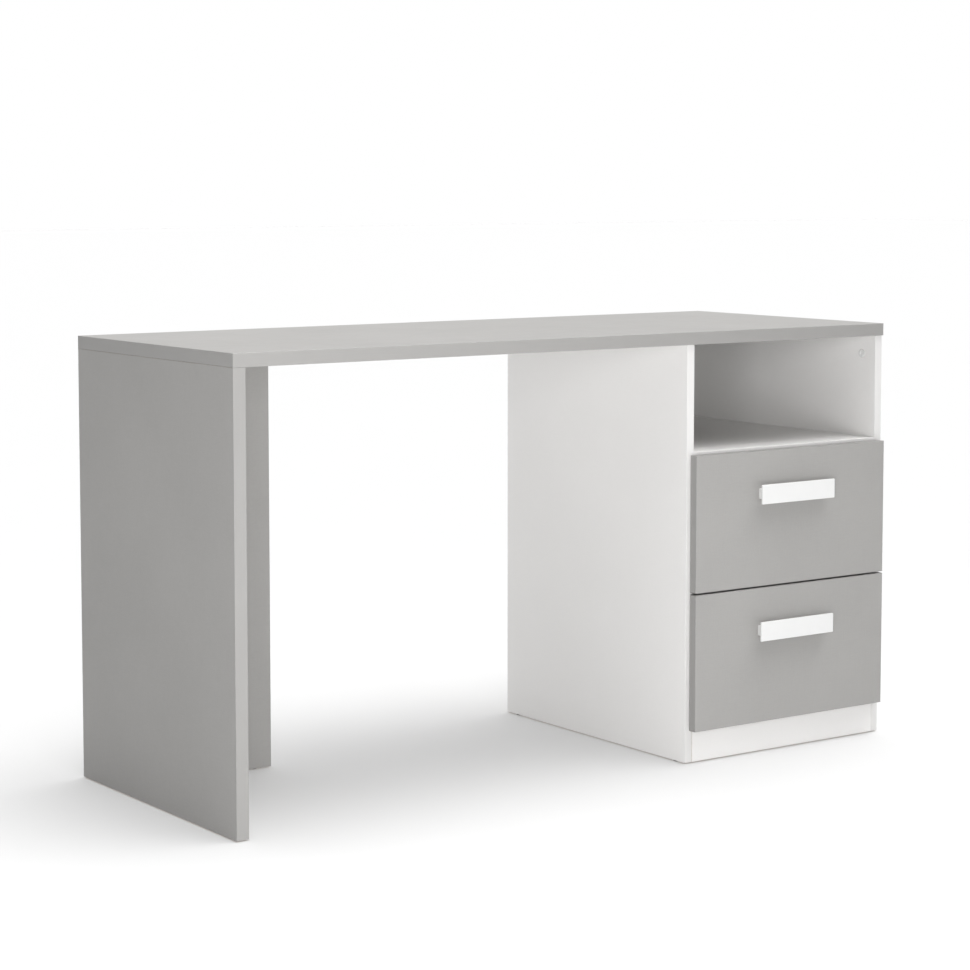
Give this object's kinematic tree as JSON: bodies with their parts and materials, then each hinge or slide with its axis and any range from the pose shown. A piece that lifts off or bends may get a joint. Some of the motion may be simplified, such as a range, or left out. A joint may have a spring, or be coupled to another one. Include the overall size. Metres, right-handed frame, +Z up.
{
  "type": "writing desk",
  "caption": "Writing desk with a long grey top on a grey panel leg and a white pedestal that holds an open niche above pull-out drawers with flat bar handles.",
  "frame": {"origin": "on the floor, at the middle of the whole desk's length and depth, handles included", "axes": "+X along the desk towards the pedestal, +Y from the sitter's side to the back, +Z up"},
  "size_m": [1.35, 0.558, 0.75],
  "materials": {
    "grey_board": "matt grey melamine on particleboard, very fine linen emboss",
    "grey_edging": "matt grey ABS edge band",
    "white_board": "matt white melamine on particleboard",
    "white_edging": "matt white ABS edge band",
    "white_sheet": "white lacquered hardboard sheet",
    "handle_plastic": "white satin moulded plastic",
    "cap_plastic": "white satin plastic cap",
    "glide_plastic": "dark grey plastic glide",
    "roller_nylon": "white nylon",
    "runner_enamel": "white powder coat on sheet steel",
    "steel": "bright zinc-plated steel",
    "zinc": "die-cast zinc",
    "beech": "plain beech, fluted"
  },
  "bodies": {
    "carcass": {"desktop": "grey_board", "desktop_edge_bands": "grey_edging", "leg_panel": "grey_board", "leg_edge_bands": "grey_edging", "stiffener_panel": "grey_board", "pedestal_left_side": "white_board", "pedestal_right_side": "white_board", "pedestal_edge_bands": "white_edging", "pedestal_shelf": "white_board", "pedestal_bottom": "white_board", "plinth_front": "white_board", "plinth_rear": "white_board", "back_panel": "white_sheet", "cam_housings": "zinc", "cam_bolts": "steel", "cam_caps": "cap_plastic", "dowels": "beech", "glides": "glide_plastic", "runner_upper_left": "runner_enamel", "runner_upper_right": "runner_enamel", "runner_lower_left": "runner_enamel", "runner_lower_right": "runner_enamel", "runner_screws": "steel", "runner_pins": "steel"},
    "upper_drawer": {"upper_drawer_front": "grey_board", "upper_drawer_front_bands": "grey_edging", "upper_drawer_left_side": "white_board", "upper_drawer_right_side": "white_board", "upper_drawer_back": "white_board", "upper_drawer_bottom": "white_sheet", "upper_drawer_handle": "handle_plastic", "upper_drawer_handle_screws": "steel", "upper_drawer_left_rail": "runner_enamel", "upper_drawer_right_rail": "runner_enamel", "upper_drawer_rail_screws": "steel", "upper_drawer_roller_pins": "steel", "upper_drawer_cams": "zinc", "upper_drawer_cam_bolts": "steel"},
    "lower_drawer": {"lower_drawer_front": "grey_board", "lower_drawer_front_bands": "grey_edging", "lower_drawer_left_side": "white_board", "lower_drawer_right_side": "white_board", "lower_drawer_back": "white_board", "lower_drawer_bottom": "white_sheet", "lower_drawer_handle": "handle_plastic", "lower_drawer_handle_screws": "steel", "lower_drawer_left_rail": "runner_enamel", "lower_drawer_right_rail": "runner_enamel", "lower_drawer_rail_screws": "steel", "lower_drawer_roller_pins": "steel", "lower_drawer_cams": "zinc", "lower_drawer_cam_bolts": "steel"},
    "front_roller_upper_left": {"front_roller_upper_left": "roller_nylon"},
    "rear_roller_upper_left": {"rear_roller_upper_left": "roller_nylon"},
    "front_roller_upper_right": {"front_roller_upper_right": "roller_nylon"},
    "rear_roller_upper_right": {"rear_roller_upper_right": "roller_nylon"},
    "front_roller_lower_left": {"front_roller_lower_left": "roller_nylon"},
    "rear_roller_lower_left": {"rear_roller_lower_left": "roller_nylon"},
    "front_roller_lower_right": {"front_roller_lower_right": "roller_nylon"},
    "rear_roller_lower_right": {"rear_roller_lower_right": "roller_nylon"}
  },
  "joints": [
    {"name": "upper_drawer_slide", "type": "slide", "parent": "carcass", "child": "upper_drawer", "axis": [0, -1, 0], "range_m": [0, 0.34]},
    {"name": "lower_drawer_slide", "type": "slide", "parent": "carcass", "child": "lower_drawer", "axis": [0, -1, 0], "range_m": [0, 0.34]},
    {"name": "front_roller_upper_left_spin", "type": "hinge", "parent": "carcass", "child": "front_roller_upper_left", "pos_m": [0.24, -0.23, 0.339], "axis": [1, 0, 0], "continuous": true},
    {"name": "rear_roller_upper_left_spin", "type": "hinge", "parent": "upper_drawer", "child": "rear_roller_upper_left", "pos_m": [0.24, 0.192, 0.339], "axis": [1, 0, 0], "continuous": true},
    {"name": "front_roller_upper_right_spin", "type": "hinge", "parent": "carcass", "child": "front_roller_upper_right", "pos_m": [0.652, -0.23, 0.339], "axis": [1, 0, 0], "continuous": true},
    {"name": "rear_roller_upper_right_spin", "type": "hinge", "parent": "upper_drawer", "child": "rear_roller_upper_right", "pos_m": [0.652, 0.192, 0.339], "axis": [1, 0, 0], "continuous": true},
    {"name": "front_roller_lower_left_spin", "type": "hinge", "parent": "carcass", "child": "front_roller_lower_left", "pos_m": [0.24, -0.23, 0.0975], "axis": [1, 0, 0], "continuous": true},
    {"name": "rear_roller_lower_left_spin", "type": "hinge", "parent": "lower_drawer", "child": "rear_roller_lower_left", "pos_m": [0.24, 0.192, 0.0975], "axis": [1, 0, 0], "continuous": true},
    {"name": "front_roller_lower_right_spin", "type": "hinge", "parent": "carcass", "child": "front_roller_lower_right", "pos_m": [0.652, -0.23, 0.0975], "axis": [1, 0, 0], "continuous": true},
    {"name": "rear_roller_lower_right_spin", "type": "hinge", "parent": "lower_drawer", "child": "rear_roller_lower_right", "pos_m": [0.652, 0.192, 0.0975], "axis": [1, 0, 0], "continuous": true}
  ],
  "couplings": [
    {"joint": "front_roller_upper_left_spin", "follows": "upper_drawer_slide", "rad_per_m": 100},
    {"joint": "rear_roller_upper_left_spin", "follows": "upper_drawer_slide", "rad_per_m": 100},
    {"joint": "front_roller_upper_right_spin", "follows": "upper_drawer_slide", "rad_per_m": 100},
    {"joint": "rear_roller_upper_right_spin", "follows": "upper_drawer_slide", "rad_per_m": 100},
    {"joint": "front_roller_lower_left_spin", "follows": "lower_drawer_slide", "rad_per_m": 100},
    {"joint": "rear_roller_lower_left_spin", "follows": "lower_drawer_slide", "rad_per_m": 100},
    {"joint": "front_roller_lower_right_spin", "follows": "lower_drawer_slide", "rad_per_m": 100},
    {"joint": "rear_roller_lower_right_spin", "follows": "lower_drawer_slide", "rad_per_m": 100}
  ]
}
